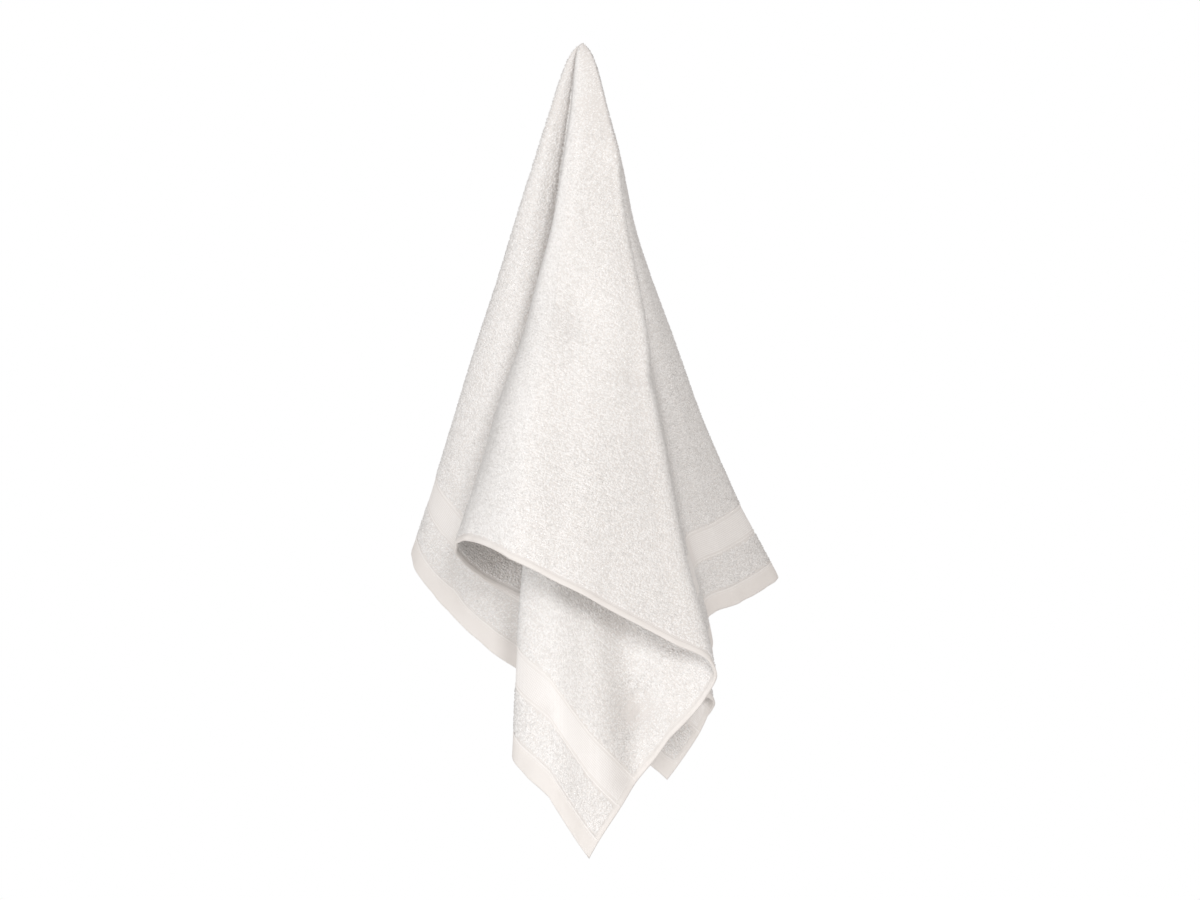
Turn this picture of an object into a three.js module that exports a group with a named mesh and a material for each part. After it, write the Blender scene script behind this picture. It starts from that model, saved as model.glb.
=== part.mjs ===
// A white terry hand towel that hangs from one point, in the folds it falls into.
// Millimetres, +Z up. The origin is the point that the towel hangs from, in the middle of the cloth.
// +X is to the right and -Y to the front, where the broad front panel hangs.
import * as THREE from "three";

// Size of the flat towel, and the place on it that hangs from the hook.
const TOWEL_WIDTH = 500; // between the two long sides
const TOWEL_LENGTH = 1000; // between the two hemmed ends
const TO_FAR_SIDE = 423; // from the hanging point to the long side that hangs in front
const TO_FIRST_END = 480; // from the hanging point to the end that hangs at the left and back
const TO_NEAR_SIDE = TOWEL_WIDTH - TO_FAR_SIDE;
const TO_SECOND_END = TOWEL_LENGTH - TO_FIRST_END;

// The cloth, thick with its loops, is squeezed thin where it bunches at the top.
const CLOTH_THICKNESS = 3;
const SQUEEZE = 0.028; // thickness for each millimetre that the folds spread
const TIP_THICKNESS = 0.04; // at the hanging point itself

// The top is a blunt point: the folds start this far out, and reach it over this distance.
const TIP_SPREAD = 26;
const TIP_ROUNDING = 6;

// Slopes change from their upper to their lower value between these distances down the cloth.
const UPPER_DISTANCE = 150;
const LOWER_DISTANCE = 500;
const LOWEST_SHARE = 1.25; // how far past the lower value the longest corners go on

// Mesh density: rays between two rows of the table, and rings from the top to the edge.
const RAYS_PER_ROW = 3;
const TIP_RINGS = [1, 3, 8, 16, 30, 52];
const RINGS_BELOW = 8;

// A turn of 0 degrees points at the far side on the flat towel, and 90 degrees at the first end.
const degrees = THREE.MathUtils.radToDeg;
const radians = THREE.MathUtils.degToRad;
const FRONT_CORNER = -degrees(Math.atan2(TO_SECOND_END, TO_FAR_SIDE));
const RIGHT_CORNER = -degrees(Math.atan2(TO_SECOND_END, -TO_NEAR_SIDE));
const LOW_CORNER = degrees(Math.atan2(TO_FIRST_END, TO_FAR_SIDE));
const BACK_CORNER = degrees(Math.atan2(TO_FIRST_END, -TO_NEAR_SIDE));

// One row for each fold, panel or corner, in order round the towel. turn is its place on the flat
// towel. right and front are the cloth's slopes from plumb, in degrees: first above, then below.
const FOLDS = [
  { name: "right corner", turn: RIGHT_CORNER, right: [15.8, 19.9], front: [-23, -24.5] },
  { name: "right panel", turn: -90, right: [14.4, 15.6], front: [-16, -19.6] },
  { name: "right bend back", turn: -85, right: [13.2, 12.5], front: [-13.4, -18.2] },
  { name: "right bend", turn: -80.5, right: [12.4, 11.8], front: [-8.6, -10] },
  { name: "inner right", turn: -75.5, right: [10.2, 10.4], front: [-4.6, -5] },
  { name: "inner panel", turn: -69, right: [4, 4.5], front: [-1.8, -1.5] },
  { name: "inner left", turn: -64.2, right: [-4.5, -3], front: [-1.4, -1] },
  { name: "inner fold", turn: -61.4, right: [-7.4, -5.6], front: [1.4, 2] },
  { name: "low panel left", turn: -56.8, right: [-4.5, -2.8], front: [4, 4.6] },
  { name: "front corner", turn: FRONT_CORNER, right: [0, 0.4], front: [4, 4.5] },
  { name: "low panel right", turn: -43, right: [8, 7], front: [3.4, 3.6] },
  { name: "right fold in", turn: -39.4, right: [10.6, 10.3], front: [4, 4.6] },
  { name: "right fold", turn: -37.6, right: [11.6, 11.2], front: [5.1, 5.9] },
  { name: "right fold out", turn: -35.6, right: [11.3, 10.9], front: [6.4, 7.3] },
  { name: "front right", turn: -33, right: [9.2, 8.3], front: [7.4, 8.6] },
  { name: "front middle", turn: -27.5, right: [4.8, 3.2], front: [8.8, 10.7] },
  { name: "front crown", turn: -21.5, right: [-0.3, -2], front: [9.4, 12.8] },
  { name: "front left", turn: -14.5, right: [-6.4, -7.4], front: [8.4, 13] },
  { name: "left turn", turn: -2, right: [-9.6, -12.2], front: [7, 7.8] },
  { name: "left fold", turn: 13, right: [-9.9, -14], front: [4, -0.4] },
  { name: "pocket left", turn: 22, right: [-7.5, -10.4], front: [-4.4, -5.8] },
  { name: "pocket middle", turn: 30.5, right: [0.5, 0], front: [-6.8, -7] },
  { name: "pocket right", turn: 38, right: [6, 7.4], front: [-7.4, -7.6] },
  { name: "pocket fold in", turn: 41.2, right: [7.6, 9.8], front: [-8.3, -8.3] },
  { name: "pocket fold", turn: 42.6, right: [8.4, 10.6], front: [-9.8, -9.8] },
  { name: "pocket fold out", turn: 44, right: [7.6, 9.8], front: [-11.3, -11] },
  { name: "low corner", turn: LOW_CORNER, right: [5.2, 6.2], front: [-13, -11.2] },
  { name: "left panel", turn: 60.5, right: [-5, -4.6], front: [-16.4, -11.8] },
  { name: "left panel edge", turn: 71.5, right: [-15.2, -15.2], front: [-15, -18.6] },
  { name: "outer fold", turn: 77.5, right: [-18.6, -18.6], front: [-19, -25] },
  { name: "back left", turn: 82.5, right: [-15.4, -14.6], front: [-22.6, -27] },
  { name: "back panel", turn: 91, right: [-6, -6], front: [-23.4, -26.5] },
  { name: "back corner", turn: BACK_CORNER, right: [1.4, 2], front: [-23.6, -25] },
  { name: "first ruffle side", turn: 116, right: [-0.8, -0.8], front: [-32, -32] },
  { name: "first ruffle in", turn: 136, right: [-1.2, -1.2], front: [-42.6, -42.6] },
  { name: "first ruffle", turn: 143, right: [0.8, 0.8], front: [-43.8, -43.8] },
  { name: "first ruffle out", turn: 150, right: [2.8, 2.8], front: [-42.6, -42.6] },
  { name: "dip in", turn: 169, right: [3.4, 3.4], front: [-32, -32] },
  { name: "dip", turn: 176, right: [5.4, 5.4], front: [-30.8, -30.8] },
  { name: "dip out", turn: 183, right: [7.4, 7.4], front: [-32, -32] },
  { name: "second ruffle in", turn: 202, right: [7.8, 7.8], front: [-43, -43] },
  { name: "second ruffle", turn: 209, right: [9.8, 9.8], front: [-44.2, -44.2] },
  { name: "second ruffle out", turn: 216, right: [11.8, 11.8], front: [-43, -43] },
  { name: "second ruffle side", turn: 235, right: [12.8, 12.8], front: [-33, -33] },
  { name: "right edge", turn: 248, right: [14.2, 14.6], front: [-27.6, -28] },
];

// The slopes round the towel, upper or lower, as one smooth closed curve through the rows.
function slopeCurve(level) {
  const points = FOLDS.map((row) => new THREE.Vector3(row.right[level], row.front[level], 0));
  return new THREE.CatmullRomCurve3(points, true, "centripetal");
}

const UPPER_SLOPES = slopeCurve(0);
const LOWER_SLOPES = slopeCurve(1);

// Distance from the hanging point to the edge of the flat towel, in the direction of a turn.
function edgeDistance(turn) {
  const x = Math.cos(radians(turn));
  const y = Math.sin(radians(turn));
  const toSide = x > 0 ? TO_FAR_SIDE / x : -TO_NEAR_SIDE / x;
  const toEnd = y > 0 ? TO_FIRST_END / y : -TO_SECOND_END / y;
  return Math.min(toSide, toEnd);
}

// A ray runs from the hanging point down to the edge, along the cloth.
function makeRay(index) {
  const row = Math.floor(index / RAYS_PER_ROW);
  const share = index / RAYS_PER_ROW - row;
  const here = FOLDS[row].turn;
  const next = row + 1 < FOLDS.length ? FOLDS[row + 1].turn : FOLDS[0].turn + 360;
  const place = index / (FOLDS.length * RAYS_PER_ROW);
  return {
    edge: edgeDistance(here + (next - here) * share),
    upper: UPPER_SLOPES.getPoint(place),
    lower: LOWER_SLOPES.getPoint(place),
  };
}

// How far out the folds spread at a distance down the cloth.
function spreadAt(distance) {
  return distance + TIP_SPREAD * (1 - Math.exp(-distance / TIP_ROUNDING));
}

// The point in the middle of the cloth, a distance down a ray.
function clothPoint(ray, distance) {
  const share = (distance - UPPER_DISTANCE) / (LOWER_DISTANCE - UPPER_DISTANCE);
  const slope = ray.upper.clone().lerp(ray.lower, THREE.MathUtils.clamp(share, 0, LOWEST_SHARE));
  const right = Math.tan(radians(slope.x));
  const front = Math.tan(radians(slope.y));
  const plumb = 1 / Math.hypot(1, right, front);
  const spread = spreadAt(distance) * plumb;
  return new THREE.Vector3(spread * right, -spread * front, -distance * plumb);
}

// Distances of the rings down one ray, from the first ring of the tip to the edge.
function ringDistances(ray) {
  const last = TIP_RINGS[TIP_RINGS.length - 1];
  const below = Array.from({ length: RINGS_BELOW }, (_, i) => (i + 1) / RINGS_BELOW);
  return [...TIP_RINGS, ...below.map((share) => last + (ray.edge - last) * share)];
}

function thicknessAt(distance) {
  return Math.min(CLOTH_THICKNESS, SQUEEZE * spreadAt(distance));
}

// The two faces of the cloth, half a thickness either side of the middle, ring by ring.
function clothFaces(rays) {
  const distances = rays.map(ringDistances);
  const middle = distances.map((list, j) => list.map((distance) => clothPoint(rays[j], distance)));
  const outer = [];
  const inner = [];
  middle.forEach((points, j) => {
    const before = middle[(j + rays.length - 1) % rays.length];
    const after = middle[(j + 1) % rays.length];
    points.forEach((point, i) => {
      const up = i > 0 ? points[i - 1] : new THREE.Vector3();
      const down = points[Math.min(i + 1, points.length - 1)];
      const along = new THREE.Vector3().subVectors(down, up);
      const round = new THREE.Vector3().subVectors(after[i], before[i]);
      const half = round.cross(along).setLength(thicknessAt(distances[j][i]) / 2);
      outer.push(point.clone().add(half));
      inner.push(point.clone().sub(half));
    });
  });
  return { outer, inner, rings: middle[0].length };
}

// One closed sheet: both faces, a rim round the edge, and the two points at the tip.
function towelGeometry() {
  const rays = Array.from({ length: FOLDS.length * RAYS_PER_ROW }, (_, index) => makeRay(index));
  const { outer, inner, rings } = clothFaces(rays);
  const top = new THREE.Vector3(0, 0, TIP_THICKNESS / 2);
  const points = [...outer, ...inner, top, top.clone().negate()];
  const innerStart = outer.length;
  const outerTip = 2 * outer.length;
  const innerTip = outerTip + 1;
  const triangles = [];
  const quad = (a, b, c, d) => triangles.push(a, b, c, a, c, d);
  for (let j = 0; j < rays.length; j++) {
    const here = j * rings;
    const next = ((j + 1) % rays.length) * rings;
    triangles.push(outerTip, next, here);
    triangles.push(innerTip, innerStart + here, innerStart + next);
    for (let i = 0; i < rings - 1; i++) {
      quad(here + i, next + i, next + i + 1, here + i + 1);
      const above = innerStart + i;
      quad(above + here, above + here + 1, above + next + 1, above + next);
    }
    const rim = rings - 1;
    const innerRim = innerStart + rim;
    quad(here + rim, next + rim, innerRim + next, innerRim + here);
  }
  const geometry = new THREE.BufferGeometry().setFromPoints(points);
  geometry.setIndex(triangles);
  geometry.computeVertexNormals();
  return geometry;
}

const terry = new THREE.MeshStandardMaterial({ color: 0xf1eeea, roughness: 0.95, metalness: 0 });
const towel = new THREE.Mesh(towelGeometry(), terry);
towel.name = "towel";

const hangingTowel = new THREE.Group();
hangingTowel.add(towel);

export default hangingTowel;
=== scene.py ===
"""A white terry hand towel that hangs from one point, with its loops, hems and woven borders."""
import math

import bpy
import numpy as np
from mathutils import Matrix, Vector


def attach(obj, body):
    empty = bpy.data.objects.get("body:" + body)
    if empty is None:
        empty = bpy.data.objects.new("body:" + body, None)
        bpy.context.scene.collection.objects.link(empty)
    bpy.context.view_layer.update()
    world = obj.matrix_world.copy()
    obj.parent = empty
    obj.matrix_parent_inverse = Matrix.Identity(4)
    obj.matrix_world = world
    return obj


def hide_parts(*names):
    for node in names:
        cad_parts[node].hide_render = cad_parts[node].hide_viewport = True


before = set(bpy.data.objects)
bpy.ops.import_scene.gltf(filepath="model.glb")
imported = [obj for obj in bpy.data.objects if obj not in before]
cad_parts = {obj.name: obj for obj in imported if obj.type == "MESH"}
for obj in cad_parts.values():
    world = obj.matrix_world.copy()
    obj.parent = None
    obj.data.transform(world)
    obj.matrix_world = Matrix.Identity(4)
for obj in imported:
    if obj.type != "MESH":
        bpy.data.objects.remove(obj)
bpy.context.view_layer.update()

# Sizes are in millimetres on the flat towel, and MM turns them into the frame's metres.
MM = 0.001
TOWEL_WIDTH = 500.0
TOWEL_LENGTH = 1000.0
TO_FAR_SIDE = 423.0  # from the hanging point to the long side that hangs in front
TO_FIRST_END = 480.0  # from the hanging point to the end that hangs at the left and back
TO_NEAR_SIDE = TOWEL_WIDTH - TO_FAR_SIDE
TO_SECOND_END = TOWEL_LENGTH - TO_FIRST_END

# Strips of the cloth, as distances from its nearer end or its nearer long side.
HEM_WIDTH = 16.6
BAND_START = 51.6
BAND_END = 79.1
SELVEDGE_WIDTH = 3.3
STRIP_BLEND = 1.2  # over which one strip's thickness turns into the next one's

# Half of the cloth's thickness in each strip, without the loops that stand on it.
TERRY_HALF = 0.55
BAND_HALF = 0.95
HEM_HALF = 1.35
SELVEDGE_HALF = 1.2
RIM_ROUND = 0.8  # how far the rim bulges, as a share of the half thickness

# The top is a blunt point where the cloth is squeezed thin.
TIP_SPREAD = 26.0
TIP_ROUNDING = 6.0
FULL_SPREAD = 107.0  # the spread of the folds at which the cloth has its full thickness

# Slopes change from their upper to their lower value between these distances down the cloth.
UPPER_DISTANCE = 150.0
LOWER_DISTANCE = 500.0
LOWEST_SHARE = 1.25

# Shifts of a few folds to the right of their row's place: one set near the top, one lower down.
TOP_SHIFTS = {
    "right fold in": 4.5,
    "right fold": 4.5,
    "right fold out": 4.5,
    "front right": 3.0,
    "front middle": 1.0,
    "front crown": 1.0,
    "front left": 5.0,
    "left turn": 7.4,
    "left fold": 7.6,
    "pocket left": 6.0,
    "pocket middle": 2.0,
}
LOWER_SHIFTS = {
    "right edge": -5.0,
    "right corner": -5.5,
    "right panel": -4.0,
    "right bend back": -7.0,
    "right bend": -9.0,
    "inner right": -7.0,
    "right fold in": -6.0,
    "right fold": -6.0,
    "right fold out": -6.0,
    "front right": -4.0,
}
TOP_SHIFT_RISE = 40.0  # how fast it grows from the hanging point down
TOP_SHIFT_END = (230.0, 330.0)  # distances down the cloth over which it fades out
LOWER_SHIFT_START = (80.0, 180.0)
LOWER_SHIFT_END = (420.0, 520.0)

# The mesh of the sheet: rays between two rows of the table, and rings from the top to the edge.
FEWEST_RAYS = 6
RAY_STEP = 1.35  # degrees for each further ray
FINE_RAY_STEP = 0.3
FINE_TURNS = [(-49.5, -42.5), (58.5, 67.5)]  # where the deepest creases are
TIP_RINGS = (0.7, 1.5, 2.6, 4, 6, 8.5, 12, 16, 21, 27, 34, 42, 52)
RINGS_BETWEEN = 46
# Rings along the edge, as distances from the ends and from the long sides.
END_RINGS = (
    *(90, 80.3, 79.1, 77.9, 71, 65, 59, 52.8, 51.6, 50.4),
    *(42, 34, 26, 17.8, 16.6, 15.4, 8, 1.4, 0),
)
SIDE_RINGS = (24, 20, 18, 17, 16, 15, 14, 13, 12, 11, 10, 9, 7, 3.9, 3.3, 2.7, 1.8, 0.8, 0)
SLOPE_REACH = 0.3  # half of the step over which the cloth's directions are taken
TINY = 1e-9  # keeps a division clear of zero

# Soft unevenness all over the cloth: rise, period across, period along and phase of each wave.
WAVES = [
    (0.55, 230, 330, 0.7),
    (0.5, 240, -320, 2.1),
    (0.3, 107, 180, 1.3),
    (0.25, -210, 130, 0.4),
]
# Puckers that the sewn hem draws up, and the slack of the selvedge: rise, period and phase.
HEM_PUCKERS = [(0.45, 33, 0.3), (0.25, 19, 1.1)]
HEM_PUCKER_REACH = 15.0
SELVEDGE_WAVES = [(0.4, 47, 0.9), (0.2, 27, 2.2)]
SELVEDGE_WAVE_REACH = 12.0

# Creases from one place on the flat towel to another: name, start across and along, end across
# and along, half width, then the rise out of the outer face at its start and at its end.
CREASES = [
    ("front valley, upper", 100, -54, 216, -82, 20, -2.0, -4.5),
    ("front valley, lower", 216, -82, 410, -152, 24, -4.5, -3.0),
    ("front shoulder bump", 73, -57, 82, -62, 10, 2.0, 2.0),
    ("right outline, notch", 238, -152, 229, -170, 12, -2.5, -2.5),
    ("low panel valley, upper", 336, -358, 385, -399, 18, 7.0, 12.0),
    ("low panel valley, lower", 385, -399, 420, -440, 18, 12.0, 13.5),
    ("low panel dent", 300, -468, 309, -476, 13, 2.0, 2.0),
    ("left panel valley", 218, 416, 264, 492, 13, -3.0, -7.0),
    ("left panel hollow", 158, 424, 176, 462, 13, -3.0, -5.0),
]

# Terry loops: their pitch on the flat cloth, and the size of one loop.
LOOP_PITCH_ACROSS = 1.95
LOOP_PITCH_ALONG = 2.05
LOOP_JITTER = 0.36  # of the pitch
LOOP_RADIUS = 1.65  # from the middle of its three-sided base to a corner
LOOP_HEIGHT = 1.4
LOOP_SIZES = (0.8, 1.2)
LOOP_LEAN = 0.35
LOOP_FOOT = 0.12  # how deep a loop's base is in the ground cloth
LOOP_CLEAR = 2.5  # from the lines that end a strip of loops
SMALLEST_LOOP = 0.75  # near the hanging point, as a share of a full one
LOOP_SEED = 7
TOP_LOOP_PITCH = 1.3  # near the hanging point, where the cloth spreads out most
TOP_LOOP_REACH = 46.0
LOOP_SPLIT = -20.0  # along the towel, where the loops of its two ends meet
# Patches where the nap leans another way: lean, period across, period along and phase.
NAP_SIDEWAYS = [(0.28, 310, 420, 0.2), (0.2, -170, 260, 1.7)]
NAP_ENDWAYS = [(0.28, -280, 510, 2.4), (0.2, 150, 230, 0.6)]

# Raised cells of the border band's weave.
CELL_PITCH = 1.7
CELL_HALF_BASE = 0.8
CELL_HEIGHT = 0.26
CELL_CLEAR = 2.3  # from the band's two lines

# Raised lines where strips of the cloth meet, made of slanted beads, and the hem's stitches.
BEAD_PITCH = 1.25
BEAD_HALF_LENGTH = 1.0
BEAD_HALF_WIDTH = 0.7
BEAD_HEIGHT = 0.85
BEAD_TURN = 0.42
STITCH_PITCH = 3.1
STITCH_HALF_LENGTH = 1.25
STITCH_HALF_WIDTH = 0.34
STITCH_HEIGHT = 0.3
STITCH_LINE = 14.4  # from the end of the towel
MOUND_FOOT = 0.12  # how deep cells, beads and stitches are in the cloth
FOUR_SIDES = [(-1, -1), (1, -1), (1, 1), (-1, 1)]
THREE_SIDES = [(0, 1), (-math.sqrt(0.75), -0.5), (math.sqrt(0.75), -0.5)]

# The map of the cloth that its patterns are on, and a second map with the same places.
PATTERN_MAP = "flat"
BAKE_MAP = "OFBake"

# Colours of the cotton. Loops have one of three tints each, in the shares below.
LOOP_COLOURS = [
    ("light", (0.955, 0.937, 0.927)),
    ("middle", (0.92, 0.9, 0.887)),
    ("dull", (0.865, 0.842, 0.826)),
]
LOOP_SHARES = (0.35, 0.4, 0.25)
GROUND_COLOURS = ((0.85, 0.82, 0.80), (0.79, 0.755, 0.73))
BAND_COLOURS = ((0.87, 0.84, 0.82), (0.82, 0.785, 0.76))
HEM_COLOURS = ((0.885, 0.85, 0.825), (0.845, 0.805, 0.775))
# Weaves of the sheet, in the order of its material slots: name, light and dark tint, pitch of the
# threads, width of the tinted patches, then the strength and the depth of the threads' bump.
TERRY, BAND, PLAIN = 0, 1, 2
WEAVES = [
    ("terry_ground", GROUND_COLOURS, 1.1, 24, 0.5, 0.25),
    ("border_band", BAND_COLOURS, 0.7, 30, 0.35, 0.15),
    ("plain_weave", HEM_COLOURS, 0.8, 18, 0.4, 0.2),
]
CELL_COLOUR = (0.925, 0.9, 0.885)
LINE_COLOUR = (0.93, 0.90, 0.88)
STITCH_COLOUR = (0.91, 0.88, 0.86)
COTTON_ROUGHNESS = 0.95
COTTON_SPECULAR = 0.2
COTTON_SHEEN = 0.12
COTTON_SHEEN_ROUGHNESS = 0.6
NOISE_DETAIL = 3.0
TINT_START, TINT_END = 0.2, 0.6
WAVE_NODE_STEP = 20.0  # the wave node's own factor on its scale

FACES = (("outer", False), ("inner", True))

# The camera, as a real one in front of the towel.
CAMERA_PLACE = (0.0149, -2.4, -0.3378)
CAMERA_LENS = 86.75
CAMERA_SENSOR = 36.0

# Lamps: name, place, width and height, power in watts and colour. All aim at LAMP_AIM.
LAMPS = [
    ("key", (0.28, -2.45, 0.13), (0.26, 0.6), 19.7, (0.985, 0.995, 1.0)),
    ("low_box", (-0.35, -2.2, -0.92), (0.7, 0.4), 4.0, (1.0, 0.94, 0.88)),
    ("left_box", (-1.85, -1.65, -0.45), (0.7, 0.7), 12.5, (0.92, 0.965, 1.0)),
    ("back_box", (0.5, 2.3, 0.1), (1.0, 1.0), 11.0, (1.0, 0.985, 0.97)),
]
LAMP_AIM = (0.0, 0.0, -0.36)
DOME_STRENGTH = 0.575
DOME_COLOUR = (1.0, 0.957, 0.92)
BACKDROP_STRENGTH = 1.0
FLOOR_RADIUS = 1.2
FLOOR_SIDES = 96
FLOOR_PLACE = (0.0, 0.1, -0.95)
FLOOR_COLOUR = (0.88, 0.88, 0.88)


def corner_turn(to_end, to_side):
    return math.degrees(math.atan2(to_end, to_side))


# A turn of 0 degrees points at the far side on the flat towel, and 90 degrees at the first end.
FRONT_CORNER = corner_turn(-TO_SECOND_END, TO_FAR_SIDE)
RIGHT_CORNER = corner_turn(-TO_SECOND_END, -TO_NEAR_SIDE)
LOW_CORNER = corner_turn(TO_FIRST_END, TO_FAR_SIDE)
BACK_CORNER = corner_turn(TO_FIRST_END, -TO_NEAR_SIDE)

# One row for each fold, panel or corner, in order round the towel: its name, its turn on the flat
# towel, then its slopes from plumb in degrees: right above, right below, front above, front below.
FOLDS = [
    ("right corner", RIGHT_CORNER, 15.8, 19.9, -23, -24.5),
    ("right panel", -90, 14.4, 15.6, -16, -19.6),
    ("right bend back", -85, 13.2, 12.5, -13.4, -18.2),
    ("right bend", -80.5, 12.4, 11.8, -8.6, -10),
    ("inner right", -75.5, 10.2, 10.4, -4.6, -5),
    ("inner panel", -69, 4, 4.5, -1.8, -1.5),
    ("inner left", -64.2, -4.5, -3, -1.4, -1),
    ("inner fold", -61.4, -7.4, -5.6, 1.4, 2),
    ("low panel left", -56.8, -4.5, -2.8, 4, 4.6),
    ("front corner", FRONT_CORNER, 0, 0.4, 4, 4.5),
    ("low panel right", -43, 8, 7, 3.4, 3.6),
    ("right fold in", -39.4, 10.6, 10.3, 4, 4.6),
    ("right fold", -37.6, 11.6, 11.2, 5.1, 5.9),
    ("right fold out", -35.6, 11.3, 10.9, 6.4, 7.3),
    ("front right", -33, 9.2, 8.3, 7.4, 8.6),
    ("front middle", -27.5, 4.8, 3.2, 8.8, 10.7),
    ("front crown", -21.5, -0.3, -2, 9.4, 12.8),
    ("front left", -14.5, -6.4, -7.4, 8.4, 13),
    ("left turn", -2, -9.6, -12.2, 7, 7.8),
    ("left fold", 13, -9.9, -14, 4, -0.4),
    ("pocket left", 22, -7.5, -10.4, -4.4, -5.8),
    ("pocket middle", 30.5, 0.5, 0, -6.8, -7),
    ("pocket right", 38, 6, 7.4, -7.4, -7.6),
    ("pocket fold in", 41.2, 7.6, 9.8, -8.3, -8.3),
    ("pocket fold", 42.6, 8.4, 10.6, -9.8, -9.8),
    ("pocket fold out", 44, 7.6, 9.8, -11.3, -11),
    ("low corner", LOW_CORNER, 5.2, 6.2, -13, -11.2),
    ("left panel", 60.5, -5, -4.6, -16.4, -11.8),
    ("left panel edge", 71.5, -15.2, -15.2, -15, -18.6),
    ("outer fold", 77.5, -18.6, -18.6, -19, -25),
    ("back left", 82.5, -15.4, -14.6, -22.6, -27),
    ("back panel", 91, -6, -6, -23.4, -26.5),
    ("back corner", BACK_CORNER, 1.4, 2, -23.6, -25),
    ("first ruffle side", 116, -0.8, -0.8, -32, -32),
    ("first ruffle in", 136, -1.2, -1.2, -42.6, -42.6),
    ("first ruffle", 143, 0.8, 0.8, -43.8, -43.8),
    ("first ruffle out", 150, 2.8, 2.8, -42.6, -42.6),
    ("dip in", 169, 3.4, 3.4, -32, -32),
    ("dip", 176, 5.4, 5.4, -30.8, -30.8),
    ("dip out", 183, 7.4, 7.4, -32, -32),
    ("second ruffle in", 202, 7.8, 7.8, -43, -43),
    ("second ruffle", 209, 9.8, 9.8, -44.2, -44.2),
    ("second ruffle out", 216, 11.8, 11.8, -43, -43),
    ("second ruffle side", 235, 12.8, 12.8, -33, -33),
    ("right edge", 248, 14.2, 14.6, -27.6, -28),
]
ROW_TURNS = np.array([row[1] for row in FOLDS] + [RIGHT_CORNER + 360.0])


# The shape of the hanging cloth


def curve_terms(points):
    """Cubic terms of each span of a closed centripetal curve through the points."""
    p0, p1, p2, p3 = (np.roll(points, shift, axis=0) for shift in (1, 0, -1, -2))
    d0, d1, d2 = (
        np.sqrt(np.linalg.norm(b - a, axis=1))[:, None] for a, b in ((p0, p1), (p1, p2), (p2, p3))
    )
    leave = ((p1 - p0) / d0 - (p2 - p0) / (d0 + d1) + (p2 - p1) / d1) * d1
    reach = ((p2 - p1) / d1 - (p3 - p1) / (d1 + d2) + (p3 - p2) / d2) * d1
    return p1, leave, 3 * (p2 - p1) - 2 * leave - reach, 2 * (p1 - p2) + leave + reach


UPPER_TERMS = curve_terms(np.array([(row[2], row[4]) for row in FOLDS], float))
LOWER_TERMS = curve_terms(np.array([(row[3], row[5]) for row in FOLDS], float))


def shift_terms(shifts):
    return curve_terms(np.array([(shifts.get(row[0], 0.0), row[1]) for row in FOLDS], float))


TOP_SHIFT_TERMS = shift_terms(TOP_SHIFTS)
LOWER_SHIFT_TERMS = shift_terms(LOWER_SHIFTS)


def curve_point(terms, place):
    span = np.minimum(place.astype(int), len(FOLDS) - 1)
    share = (place - span)[:, None]
    start, first, second, third = (term[span] for term in terms)
    return start + share * (first + share * (second + share * third))


def spread_at(distance):
    """How far out the folds spread at a distance down the cloth."""
    return distance + TIP_SPREAD * (1 - np.exp(-distance / TIP_ROUNDING))


def soft_rise(value, start, end):
    """0 up to the start and 1 from the end on, smoothly."""
    share = np.clip((value - start) / (end - start), 0, 1)
    return share * share * (3 - 2 * share)


def side_shift(place, distance):
    """How far the folds are shifted to the right."""
    top = curve_point(TOP_SHIFT_TERMS, place)[:, 0] * (1 - np.exp(-distance / TOP_SHIFT_RISE))
    lower = curve_point(LOWER_SHIFT_TERMS, place)[:, 0] * soft_rise(distance, *LOWER_SHIFT_START)
    top_share = 1 - soft_rise(distance, *TOP_SHIFT_END)
    lower_share = 1 - soft_rise(distance, *LOWER_SHIFT_END)
    return top * top_share + lower * lower_share


def cone_point(across, along):
    """The middle of the cloth at places on the flat towel, without its smaller waves."""
    distance = np.hypot(across, along)
    turn = np.degrees(np.arctan2(along, across))
    turn = np.where(turn < RIGHT_CORNER, turn + 360, turn)
    place = np.interp(turn, ROW_TURNS, np.arange(len(ROW_TURNS)))
    share = (distance - UPPER_DISTANCE) / (LOWER_DISTANCE - UPPER_DISTANCE)
    share = np.clip(share, 0, LOWEST_SHARE)[:, None]
    upper = curve_point(UPPER_TERMS, place)
    slope = upper + share * (curve_point(LOWER_TERMS, place) - upper)
    right, front = np.tan(np.radians(slope)).T
    plumb = 1 / np.sqrt(1 + right**2 + front**2)
    spread = spread_at(distance) * plumb
    right = spread * right + side_shift(place, distance)
    return np.stack([right, -spread * front, -distance * plumb], axis=1)


def unit(vectors):
    return vectors / np.maximum(np.linalg.norm(vectors, axis=1), TINY)[:, None]


def directions_of(surface, across, along):
    """Unit vectors across and along a surface of the cloth, and out of its outer face."""
    to_side = surface(across + SLOPE_REACH, along) - surface(across - SLOPE_REACH, along)
    to_end = surface(across, along + SLOPE_REACH) - surface(across, along - SLOPE_REACH)
    return unit(to_side), unit(to_end), unit(np.cross(to_end, to_side))


def squeeze_at(across, along):
    """From 0 at the hanging point to 1 where the cloth has its full thickness."""
    return np.minimum(1, spread_at(np.hypot(across, along)) / FULL_SPREAD)


def wave_sum(waves, across, along):
    total = np.zeros(len(across))
    for rise, period_across, period_along, phase in waves:
        turns = across / period_across + along / period_along
        total += rise * np.sin(2 * math.pi * turns + phase)
    return total


def line_wave_sum(waves, place):
    total = np.zeros(len(place))
    for rise, period, phase in waves:
        total += rise * np.sin(2 * math.pi * place / period + phase)
    return total


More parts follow.
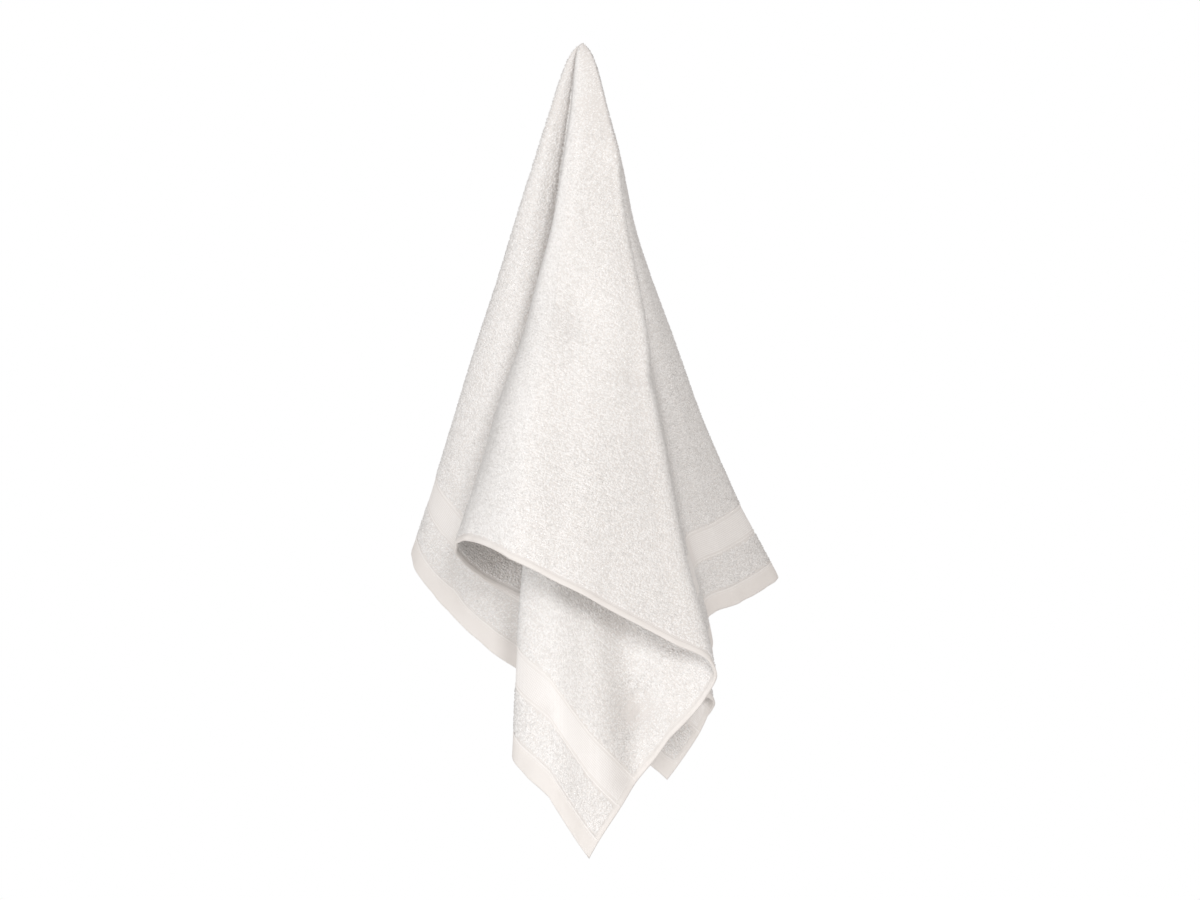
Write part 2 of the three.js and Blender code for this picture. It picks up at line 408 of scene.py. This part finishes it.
def crease_rise(across, along):
    """Rise of all creases: each is round in section and fades past its two ends."""
    total = np.zeros(len(across))
    for _, x0, y0, x1, y1, half_width, first_rise, last_rise in CREASES:
        length = math.hypot(x1 - x0, y1 - y0)
        share = ((across - x0) * (x1 - x0) + (along - y0) * (y1 - y0)) / length**2
        share = np.clip(share, 0, 1)
        gap = np.hypot(across - x0 - share * (x1 - x0), along - y0 - share * (y1 - y0))
        rise = first_rise + share * (last_rise - first_rise)
        total += rise * np.exp(-((gap / half_width) ** 2))
    return total


def cloth_rise(across, along):
    """How far the cloth rises out of its plain folds, towards its outer face."""
    pucker = np.exp(-((end_gap(along) / HEM_PUCKER_REACH) ** 2))
    slack = np.exp(-((side_gap(across) / SELVEDGE_WAVE_REACH) ** 2))
    rise = wave_sum(WAVES, across, along) + crease_rise(across, along)
    rise += pucker * line_wave_sum(HEM_PUCKERS, across)
    rise += slack * line_wave_sum(SELVEDGE_WAVES, along)
    return rise * squeeze_at(across, along)


def cloth_middle(across, along):
    out = directions_of(cone_point, across, along)[2]
    return cone_point(across, along) + cloth_rise(across, along)[:, None] * out


def cloth_point(across, along):
    """The middle of the cloth and the three directions there."""
    return cloth_middle(across, along), directions_of(cloth_middle, across, along)


# Strips of the cloth


def end_gap(along):
    return np.minimum(TO_FIRST_END - along, along + TO_SECOND_END)


def side_gap(across):
    return np.minimum(TO_FAR_SIDE - across, across + TO_NEAR_SIDE)


def soft_step(value, edge):
    """0 below the edge and 1 above it, blended over STRIP_BLEND."""
    return soft_rise(value, edge - 0.5 * STRIP_BLEND, edge + 0.5 * STRIP_BLEND)


def half_thickness(across, along):
    end, side = end_gap(along), side_gap(across)
    band = soft_step(end, BAND_START) * (1 - soft_step(end, BAND_END))
    half = TERRY_HALF + (BAND_HALF - TERRY_HALF) * band
    half = SELVEDGE_HALF + (half - SELVEDGE_HALF) * soft_step(side, SELVEDGE_WIDTH)
    half = HEM_HALF + (half - HEM_HALF) * soft_step(end, HEM_WIDTH)
    return half * squeeze_at(across, along)


def has_loops(across, along):
    end, side = end_gap(along), side_gap(across)
    in_band = (end > BAND_START - LOOP_CLEAR) & (end < BAND_END + LOOP_CLEAR)
    return (end > HEM_WIDTH + LOOP_CLEAR) & ~in_band & (side > SELVEDGE_WIDTH + LOOP_CLEAR)


# Meshes


def make_object(name, points, faces, places, materials, slots=None):
    """A smooth mesh object from arrays, in metres, with places on the flat towel as its UV map."""
    mesh = bpy.data.meshes.new(name)
    corners = np.concatenate([part.ravel() for part in faces])
    sizes = np.concatenate([np.full(len(part), part.shape[1]) for part in faces])
    starts = np.concatenate([[0], np.cumsum(sizes)[:-1]])
    mesh.vertices.add(len(points))
    mesh.vertices.foreach_set("co", (points * MM).astype(np.float32).ravel())
    mesh.loops.add(len(corners))
    mesh.loops.foreach_set("vertex_index", corners.astype(np.int32))
    mesh.polygons.add(len(sizes))
    mesh.polygons.foreach_set("loop_start", starts.astype(np.int32))
    mesh.polygons.foreach_set("loop_total", sizes.astype(np.int32))
    mesh.polygons.foreach_set("use_smooth", np.ones(len(sizes), bool))
    if slots is not None:
        mesh.polygons.foreach_set("material_index", slots.astype(np.int32))
    for map_name in (BAKE_MAP, PATTERN_MAP):
        layer = mesh.uv_layers.new(name=map_name)
        layer.uv.foreach_set("vector", places[corners].astype(np.float32).ravel())
    for material in materials:
        mesh.materials.append(material)
    mesh.update(calc_edges=True)
    made = bpy.data.objects.new(name, mesh)
    bpy.context.scene.collection.objects.link(made)
    return made


def map_place(across, along, inner):
    """Place on the map, in metres: the outer face in its left half, and the inner in its right."""
    right = (across + TO_NEAR_SIDE) * MM + (TOWEL_WIDTH * MM if inner else 0.0)
    return np.stack([right, (along + TO_SECOND_END) * MM], axis=1)


def even_places(start, end, pitch):
    """Places about a pitch apart that fill the length from start to end."""
    count = round((end - start) / pitch)
    return start + (end - start) * (np.arange(count) + 0.5) / count


def ray_turns():
    """Turns of all rays: a few between neighbouring rows, and more where rows are far apart
    or creases are deep."""
    turns = []
    for start, step in zip(ROW_TURNS, np.diff(ROW_TURNS)):
        count = FEWEST_RAYS + round(step / RAY_STEP)
        turns.append(start + step * np.arange(count) / count)
    turns = np.concatenate(turns)
    for start, end in FINE_TURNS:
        coarse = turns[(turns < start) | (turns > end)]
        turns = np.concatenate([coarse, even_places(start, end, FINE_RAY_STEP)])
    return np.sort(turns)


def inset_distance(turn, end_inset, side_inset):
    """Distance along a turn to a rectangle that lies inside the towel's edge."""
    x, y = np.cos(np.radians(turn)), np.sin(np.radians(turn))
    side = np.where(x > 0, TO_FAR_SIDE, TO_NEAR_SIDE) - side_inset
    end = np.where(y > 0, TO_FIRST_END, TO_SECOND_END) - end_inset
    return np.minimum(side / np.maximum(np.abs(x), TINY), end / np.maximum(np.abs(y), TINY))


def ring_distances(turns):
    """Distances of all rings from the hanging point, a row for each ring."""
    edge = [inset_distance(turns, *insets) for insets in zip(END_RINGS, SIDE_RINGS)]
    shares = np.linspace(0, 1, RINGS_BETWEEN + 2)[1:-1]
    between = [TIP_RINGS[-1] + (edge[0] - TIP_RINGS[-1]) * share for share in shares]
    return np.array([np.full(len(turns), ring) for ring in TIP_RINGS] + between + edge)


def grid_faces(rings, rays, start, turned):
    """Quads between the rings of one face of the cloth."""
    ring, ray = np.meshgrid(np.arange(rings - 1), np.arange(rays), indexing="ij")
    here = start + ring * rays + ray
    beside = start + ring * rays + (ray + 1) % rays
    order = [here, beside, beside + rays, here + rays]
    if turned:
        order.reverse()
    return np.stack(order, axis=-1).reshape(-1, 4)


def strip_of(across, along):
    """The material slot of the strip that a place is in. PLAIN is for hems and selvedges."""
    end, side = end_gap(along), side_gap(across)
    band = (end > BAND_START) & (end < BAND_END)
    plain = (end < HEM_WIDTH) | (side < SELVEDGE_WIDTH)
    return np.where(plain, PLAIN, np.where(band, BAND, TERRY))


def sheet_faces(rings, rays):
    """Faces of the sheet, whose points are the outer face, the inner one, the rim and two tips."""
    count = rings * rays
    ray = np.arange(rays)
    beside = (ray + 1) % rays
    edge = (rings - 1) * rays
    inner_edge = count + edge
    rim, outer_tip, inner_tip = 2 * count, 2 * count + rays, 2 * count + rays + 1
    return [
        grid_faces(rings, rays, 0, False),
        grid_faces(rings, rays, count, True),
        np.stack([edge + ray, edge + beside, rim + beside, rim + ray], axis=1),
        np.stack([rim + ray, rim + beside, inner_edge + beside, inner_edge + ray], axis=1),
        np.stack([np.full(rays, outer_tip), beside, ray], axis=1),
        np.stack([np.full(rays, inner_tip), count + ray, count + beside], axis=1),
    ]


def make_sheet(materials):
    """The cloth itself: two faces, and a round rim between them."""
    turns = ray_turns()
    distances = ring_distances(turns)
    rings, rays = distances.shape
    across = (distances * np.cos(np.radians(turns))).ravel()
    along = (distances * np.sin(np.radians(turns))).ravel()
    middle, (_, _, out) = cloth_point(across, along)
    half = half_thickness(across, along)
    outer = middle + half[:, None] * out
    inner = middle - half[:, None] * out
    last = slice((rings - 1) * rays, rings * rays)
    before = slice((rings - 2) * rays, (rings - 1) * rays)
    rim = middle[last] + unit(middle[last] - middle[before]) * (RIM_ROUND * half[last])[:, None]
    tip = np.array([[0, 0, half[0]], [0, 0, -half[0]]])
    points = np.concatenate([outer, inner, rim, tip])
    faces = sheet_faces(rings, rays)
    places = np.concatenate(
        [
            map_place(across, along, False),
            map_place(across, along, True),
            map_place(across[last], along[last], False),
            map_place(np.zeros(1), np.zeros(1), False),
            map_place(np.zeros(1), np.zeros(1), True),
        ]
    )
    flat = np.stack([across, along], axis=1)
    strips = strip_of(*flat[faces[0]].mean(axis=1).T)
    rim_slots, tip_slots = np.full(2 * rays, PLAIN), np.full(2 * rays, TERRY)
    slots = np.concatenate([strips, strips, rim_slots, tip_slots])
    return make_object("towel_sheet", points, faces, places, materials, slots)


def make_mounds(name, mounds, inner, materials, corners=FOUR_SIDES):
    """Small pointed mounds on one face of the cloth, in one mesh. mounds holds an array for each
    of across, along, half_length, half_width, height, foot, turn, lean and slot."""
    sides = len(corners)
    across, along, turn = mounds["across"], mounds["along"], mounds["turn"]
    middle, (to_side, to_end, out) = cloth_point(across, along)
    if inner:
        out = -out
    base = middle + out * (half_thickness(across, along) - mounds["foot"])[:, None]
    points, places = [], []
    for x, y in corners:
        lengthways, sideways = x * mounds["half_length"], y * mounds["half_width"]
        step_across = lengthways * np.cos(turn) - sideways * np.sin(turn)
        step_along = lengthways * np.sin(turn) + sideways * np.cos(turn)
        points.append(base + to_side * step_across[:, None] + to_end * step_along[:, None])
        places.append(map_place(across + step_across, along + step_along, inner))
    lean = mounds["lean"]
    top = base + out * (mounds["height"] + mounds["foot"])[:, None]
    points.append(top + to_side * lean[:, :1] + to_end * lean[:, 1:])
    places.append(map_place(across + lean[:, 0], along + lean[:, 1], inner))
    points, places = (np.stack(part, axis=1) for part in (points, places))
    side = np.array([(corner, (corner + 1) % sides, sides) for corner in range(sides)])
    if not inner:
        side = side[:, ::-1]
    faces = ((sides + 1) * np.arange(len(across))[:, None, None] + side).reshape(-1, 3)
    slots = np.repeat(mounds["slot"], sides)
    points, places = points.reshape(-1, 3), places.reshape(-1, 2)
    return make_object(name, points, [faces], places, materials, slots)


def even_mounds(across, along, half_length, half_width, height, turn):
    """Upright mounds that are all alike, as make_mounds takes them."""
    count = len(across)
    return {
        "across": across,
        "along": along,
        "half_length": np.full(count, half_length),
        "half_width": np.full(count, half_width),
        "height": np.full(count, height),
        "foot": np.full(count, MOUND_FOOT),
        "turn": np.broadcast_to(turn, count),
        "lean": np.zeros((count, 2)),
        "slot": np.zeros(count),
    }


def jittered_grid(random, across_range, along_range, across_pitch, along_pitch):
    across = np.arange(*across_range, across_pitch)
    along = np.arange(*along_range, along_pitch)
    across, along = (grid.ravel() for grid in np.meshgrid(across, along))
    across = across + random.uniform(-LOOP_JITTER, LOOP_JITTER, len(across)) * across_pitch
    along = along + random.uniform(-LOOP_JITTER, LOOP_JITTER, len(along)) * along_pitch
    return across, along


def loop_places(random):
    """Places of one face's loops: even rows over the cloth, and closer ones near the top."""
    width = (-TO_NEAR_SIDE, TO_FAR_SIDE)
    length = (-TO_SECOND_END, TO_FIRST_END)
    across, along = jittered_grid(random, width, length, LOOP_PITCH_ACROSS, LOOP_PITCH_ALONG)
    kept = has_loops(across, along) & (np.hypot(across, along) > TOP_LOOP_REACH)
    top = (-TOP_LOOP_REACH, TOP_LOOP_REACH)
    top_across, top_along = jittered_grid(random, top, top, TOP_LOOP_PITCH, TOP_LOOP_PITCH)
    top_kept = np.hypot(top_across, top_along) <= TOP_LOOP_REACH
    return (
        np.concatenate([across[kept], top_across[top_kept]]),
        np.concatenate([along[kept], top_along[top_kept]]),
    )


def loop_mounds(random):
    """Terry loops of one face, in jittered rows, only where the cloth has loops."""
    across, along = loop_places(random)
    count = len(across)
    size = np.maximum(SMALLEST_LOOP, squeeze_at(across, along))
    size = size * random.uniform(*LOOP_SIZES, count)
    nap = [wave_sum(waves, across, along) for waves in (NAP_SIDEWAYS, NAP_ENDWAYS)]
    nap = np.stack(nap, axis=1)
    lean = random.normal(0, LOOP_LEAN, (count, 2)) + nap
    return {
        "across": across,
        "along": along,
        "half_length": LOOP_RADIUS * size,
        "half_width": LOOP_RADIUS * size,
        "height": LOOP_HEIGHT * size,
        "foot": LOOP_FOOT * size,
        "turn": random.uniform(0, 2 * math.pi, count),
        "lean": lean * size[:, None],
        "slot": random.choice(len(LOOP_COLOURS), count, p=LOOP_SHARES),
    }


def make_all_loops(materials):
    """Four meshes of loops: one for each face of the cloth on each side of LOOP_SPLIT."""
    random = np.random.default_rng(LOOP_SEED)
    made = []
    for face, inner in FACES:
        mounds = loop_mounds(random)
        first = mounds["along"] >= LOOP_SPLIT
        for half, chosen in (("first", first), ("second", ~first)):
            part = {key: values[chosen] for key, values in mounds.items()}
            made.append(make_mounds(f"loops_{face}_{half}", part, inner, materials, THREE_SIDES))
    return made


def from_ends(gap):
    """Places along the towel that lie a gap in from each of its ends."""
    return TO_FIRST_END - gap, gap - TO_SECOND_END


def from_sides(gap):
    """Places across the towel that lie a gap in from each of its long sides."""
    return TO_FAR_SIDE - gap, gap - TO_NEAR_SIDE


def make_cells(material):
    """The border bands' weave: square cells in straight rows."""
    last, first = from_sides(SELVEDGE_WIDTH + CELL_CLEAR)
    across = even_places(first, last, CELL_PITCH)
    gaps = even_places(BAND_START + CELL_CLEAR, BAND_END - CELL_CLEAR, CELL_PITCH)
    along = np.concatenate(from_ends(gaps))
    across, along = (grid.ravel() for grid in np.meshgrid(across, along))
    cells = even_mounds(across, along, CELL_HALF_BASE, CELL_HALF_BASE, CELL_HEIGHT, 0.0)
    return [make_mounds(f"band_cells_{face}", cells, inner, [material]) for face, inner in FACES]


def make_lines(material):
    """Raised lines of beads along both edges of the border bands and the inner edge of the hems."""
    last, first = from_sides(0.5 * SELVEDGE_WIDTH)
    beads = even_places(first, last, BEAD_PITCH)
    across, along = [], []
    for gap in (HEM_WIDTH, BAND_START, BAND_END):
        for place in from_ends(gap):
            across.append(beads)
            along.append(np.full(len(beads), place))
    across, along = np.concatenate(across), np.concatenate(along)
    size = (BEAD_HALF_LENGTH, BEAD_HALF_WIDTH, BEAD_HEIGHT)
    mounds = even_mounds(across, along, *size, BEAD_TURN)
    return [make_mounds(f"band_lines_{face}", mounds, inner, [material]) for face, inner in FACES]


def make_stitches(material):
    """The row of stitches that holds each hem down."""
    last, first = from_sides(0.5 * SELVEDGE_WIDTH)
    row = even_places(first, last, STITCH_PITCH)
    across = np.tile(row, 2)
    along = np.repeat(from_ends(STITCH_LINE), len(row))
    size = (STITCH_HALF_LENGTH, STITCH_HALF_WIDTH, STITCH_HEIGHT)
    rows = even_mounds(across, along, *size, 0.0)
    return [make_mounds(f"hem_stitches_{face}", rows, inner, [material]) for face, inner in FACES]


# Materials


def new_material(name, colour):
    material = bpy.data.materials.new(name)
    material.use_nodes = True
    shader = material.node_tree.nodes["Principled BSDF"]
    shader.inputs["Base Color"].default_value = (*colour, 1.0)
    shader.inputs["Roughness"].default_value = COTTON_ROUGHNESS
    shader.inputs["Specular IOR Level"].default_value = COTTON_SPECULAR
    shader.inputs["Sheen Weight"].default_value = COTTON_SHEEN
    shader.inputs["Sheen Roughness"].default_value = COTTON_SHEEN_ROUGHNESS
    return material, shader


def pattern_place(nodes):
    place = nodes.new("ShaderNodeUVMap")
    place.uv_map = PATTERN_MAP
    return place.outputs["UV"]


def add_noise(tree, place, period):
    """Soft noise whose patches are about a period wide, in millimetres."""
    noise = tree.nodes.new("ShaderNodeTexNoise")
    noise.inputs["Scale"].default_value = 1 / (period * MM)
    noise.inputs["Detail"].default_value = NOISE_DETAIL
    tree.links.new(place, noise.inputs["Vector"])
    return noise.outputs["Fac"]


def add_threads(tree, place, direction, pitch):
    """Ridges of one set of threads, a pitch apart in millimetres."""
    wave = tree.nodes.new("ShaderNodeTexWave")
    wave.bands_direction = direction
    wave.inputs["Scale"].default_value = 2 * math.pi / (WAVE_NODE_STEP * pitch * MM)
    tree.links.new(place, wave.inputs["Vector"])
    return wave.outputs["Fac"]


def join_values(tree, operation, first, second):
    node = tree.nodes.new("ShaderNodeMath")
    node.operation = operation
    tree.links.new(first, node.inputs[0])
    tree.links.new(second, node.inputs[1])
    return node.outputs["Value"]


def mean_of(tree, first, second):
    half = tree.nodes.new("ShaderNodeMath")
    half.operation = "MULTIPLY"
    half.inputs[1].default_value = 0.5
    tree.links.new(join_values(tree, "ADD", first, second), half.inputs[0])
    return half.outputs["Value"]


def add_tint(tree, shader, share, light, dark):
    """Colours the cloth from the dark tint to the light one as the share grows."""
    ramp = tree.nodes.new("ShaderNodeValToRGB")
    ramp.color_ramp.elements[0].position = TINT_START
    ramp.color_ramp.elements[1].position = TINT_END
    ramp.color_ramp.elements[0].color = (*dark, 1.0)
    ramp.color_ramp.elements[1].color = (*light, 1.0)
    tree.links.new(share, ramp.inputs["Fac"])
    tree.links.new(ramp.outputs["Color"], shader.inputs["Base Color"])


def add_bump(tree, shader, height, strength, depth):
    bump = tree.nodes.new("ShaderNodeBump")
    bump.inputs["Strength"].default_value = strength
    bump.inputs["Distance"].default_value = depth * MM
    tree.links.new(height, bump.inputs["Height"])
    tree.links.new(bump.outputs["Normal"], shader.inputs["Normal"])


def weave_material(name, colours, pitch, patch, strength, depth):
    """A plain weave: crossing threads as bump, and tints that change in soft patches."""
    light, dark = colours
    material, shader = new_material(name, light)
    tree = material.node_tree
    place = pattern_place(tree.nodes)
    warp = add_threads(tree, place, "X", pitch)
    weft = add_threads(tree, place, "Y", pitch)
    threads = join_values(tree, "MULTIPLY", warp, weft)
    patches = add_noise(tree, place, patch)
    add_tint(tree, shader, mean_of(tree, patches, threads), light, dark)
    add_bump(tree, shader, threads, strength, depth)
    return material


def loop_materials():
    return [new_material(f"terry_loops_{name}", colour)[0] for name, colour in LOOP_COLOURS]


# The stage, the light and the camera


def make_floor():
    bpy.ops.mesh.primitive_circle_add(
        vertices=FLOOR_SIDES, radius=FLOOR_RADIUS, fill_type="NGON", location=FLOOR_PLACE
    )
    floor = bpy.context.object
    floor.name = "floor"
    material, _ = new_material("floor_paint", FLOOR_COLOUR)
    floor.data.materials.append(material)


def make_world():
    """A white backdrop for the camera, and softer, warmer light all round for the cloth."""
    world = bpy.data.worlds.new("studio")
    bpy.context.scene.world = world
    world.use_nodes = True
    tree = world.node_tree
    dome = tree.nodes["Background"]
    dome.inputs["Color"].default_value = (*DOME_COLOUR, 1)
    dome.inputs["Strength"].default_value = DOME_STRENGTH
    backdrop = tree.nodes.new("ShaderNodeBackground")
    backdrop.inputs["Color"].default_value = (1, 1, 1, 1)
    backdrop.inputs["Strength"].default_value = BACKDROP_STRENGTH
    ray = tree.nodes.new("ShaderNodeLightPath")
    mix = tree.nodes.new("ShaderNodeMixShader")
    tree.links.new(ray.outputs["Is Camera Ray"], mix.inputs["Fac"])
    tree.links.new(dome.outputs["Background"], mix.inputs[1])
    tree.links.new(backdrop.outputs["Background"], mix.inputs[2])
    tree.links.new(mix.outputs["Shader"], tree.nodes["World Output"].inputs["Surface"])


def make_lamps():
    for name, place, (width, height), power, colour in LAMPS:
        light = bpy.data.lights.new(name, "AREA")
        light.color = colour
        light.shape = "RECTANGLE"
        light.size = width
        light.size_y = height
        light.energy = power
        lamp = bpy.data.objects.new(name, light)
        lamp.location = place
        aim = Vector(LAMP_AIM) - Vector(place)
        lamp.rotation_euler = aim.to_track_quat("-Z", "Y").to_euler()
        lamp.visible_camera = False
        bpy.context.scene.collection.objects.link(lamp)


def make_camera():
    camera = bpy.data.cameras.new("camera")
    camera.lens = CAMERA_LENS
    camera.sensor_width = CAMERA_SENSOR
    holder = bpy.data.objects.new("camera", camera)
    holder.location = CAMERA_PLACE
    holder.rotation_euler = (math.pi / 2, 0, 0)
    bpy.context.scene.collection.objects.link(holder)
    bpy.context.scene.camera = holder


make_camera()
make_world()
make_lamps()
make_floor()
bpy.context.scene.view_settings.view_transform = "Standard"

sheet = make_sheet([weave_material(*weave) for weave in WEAVES])
trim = make_all_loops(loop_materials())
trim += make_cells(new_material("band_cells", CELL_COLOUR)[0])
trim += make_lines(new_material("band_lines", LINE_COLOUR)[0])
trim += make_stitches(new_material("hem_thread", STITCH_COLOUR)[0])
for piece in [sheet, *trim]:
    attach(piece, "root")
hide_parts("towel")
